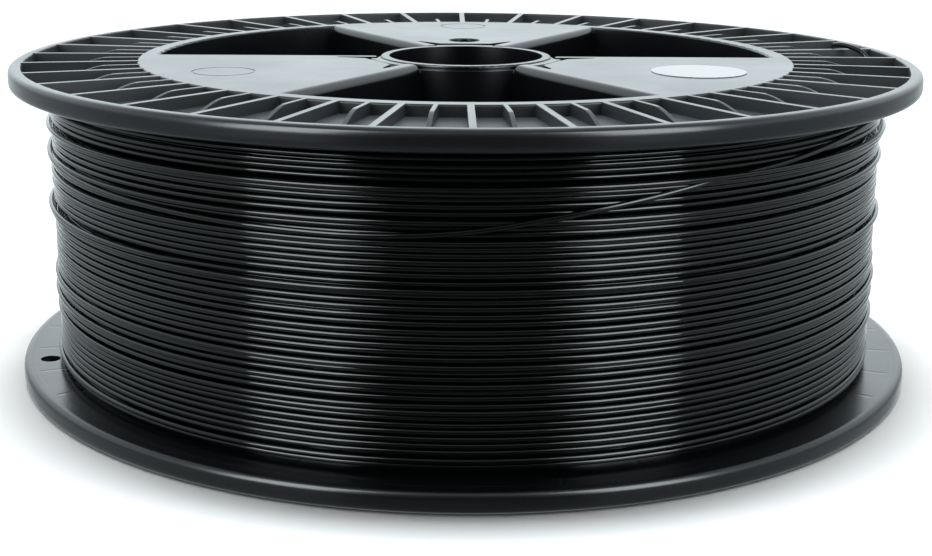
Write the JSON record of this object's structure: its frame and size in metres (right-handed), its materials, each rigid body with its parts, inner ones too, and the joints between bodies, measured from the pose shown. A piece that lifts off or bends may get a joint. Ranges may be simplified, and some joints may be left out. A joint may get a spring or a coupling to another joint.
{
  "type": "filament spool",
  "caption": "Large filament spool for 3D printing: ribbed flanges, open windows round a hub bore, and a full winding of plastic filament held in a rim hole.",
  "frame": {"origin": "centre of the bore in the plane that the lower flange rests on", "axes": "+Z along the bore axis, up through the upper flange; the drive holes lie towards +Y and the camera side is -Y"},
  "size_m": [0.3, 0.3, 0.1055],
  "materials": {
    "spool_plastic": "injection-moulded black plastic, semi-gloss",
    "filament_plastic": "extruded black filament, glossy",
    "label_paper": "bare white self-adhesive paper"
  },
  "bodies": {
    "root": {"lower_half": "spool_plastic", "upper_half": "spool_plastic", "filament_core": "filament_plastic", "filament_winding": "filament_plastic", "round_label": "label_paper"}
  },
  "joints": []
}
